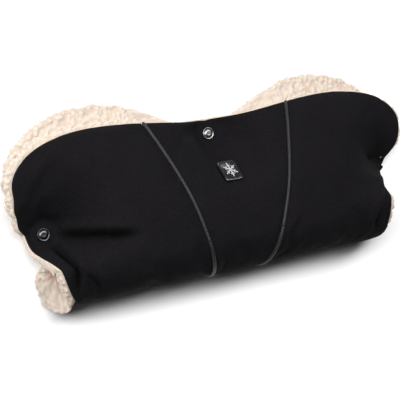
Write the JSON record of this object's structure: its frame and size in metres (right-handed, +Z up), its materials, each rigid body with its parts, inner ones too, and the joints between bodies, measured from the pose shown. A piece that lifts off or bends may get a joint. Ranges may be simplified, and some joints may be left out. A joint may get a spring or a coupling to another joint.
{
  "type": "hand warmer muff",
  "caption": "Padded softshell hand muff with a pile lining, folded round a handlebar and closed with press studs, with two lobed hand openings.",
  "frame": {"origin": "under the middle of the muff's box, on the plane that its back panel rests on", "axes": "+X across the width, +Y from the fold to the hand openings, +Z up through the front panel"},
  "size_m": [0.525, 0.218, 0.0831],
  "materials": {
    "softshell": "matte woven softshell",
    "wadding": "polyester wadding",
    "pile_lining": "curly pile",
    "piping_cloth": "smooth satin piping",
    "snap_metal": "gunmetal press stud",
    "badge_rubber": "glossy moulded patch",
    "badge_thread": "silver raised print"
  },
  "bodies": {
    "back_panel": {"fold_left_shell": "softshell", "fold_centre_shell": "softshell", "fold_right_shell": "softshell", "fold_left_wadding": "wadding", "fold_centre_wadding": "wadding", "fold_right_wadding": "wadding", "fold_lining": "pile_lining", "fold_left_piping": "piping_cloth", "fold_right_piping": "piping_cloth", "back_left_shell": "softshell", "back_centre_shell": "softshell", "back_right_shell": "softshell", "back_left_wadding": "wadding", "back_centre_wadding": "wadding", "back_right_wadding": "wadding", "back_lining": "pile_lining", "back_left_piping": "piping_cloth", "back_right_piping": "piping_cloth", "left_snap_stud": "snap_metal", "left_snap_post": "snap_metal", "centre_snap_stud": "snap_metal", "centre_snap_post": "snap_metal", "right_snap_stud": "snap_metal", "right_snap_post": "snap_metal"},
    "front_flap": {"front_left_shell": "softshell", "front_centre_shell": "softshell", "front_right_shell": "softshell", "front_left_wadding": "wadding", "front_centre_wadding": "wadding", "front_right_wadding": "wadding", "front_lining": "pile_lining", "front_left_piping": "piping_cloth", "front_right_piping": "piping_cloth", "badge_patch": "badge_rubber", "badge_flake": "badge_thread", "left_snap_cap": "snap_metal", "left_snap_socket": "snap_metal", "centre_snap_cap": "snap_metal", "centre_snap_socket": "snap_metal", "right_snap_cap": "snap_metal", "right_snap_socket": "snap_metal"}
  },
  "joints": [
    {"name": "front_flap_hinge", "type": "hinge", "parent": "back_panel", "child": "front_flap", "pos_m": [0, -0.1022, 0.0416], "axis": [1, 0, 0], "range_deg": [0, 180], "deforming": ["fold_left_shell", "fold_centre_shell", "fold_right_shell", "fold_left_wadding", "fold_centre_wadding", "fold_right_wadding", "fold_lining", "fold_left_piping", "fold_right_piping"]}
  ]
}
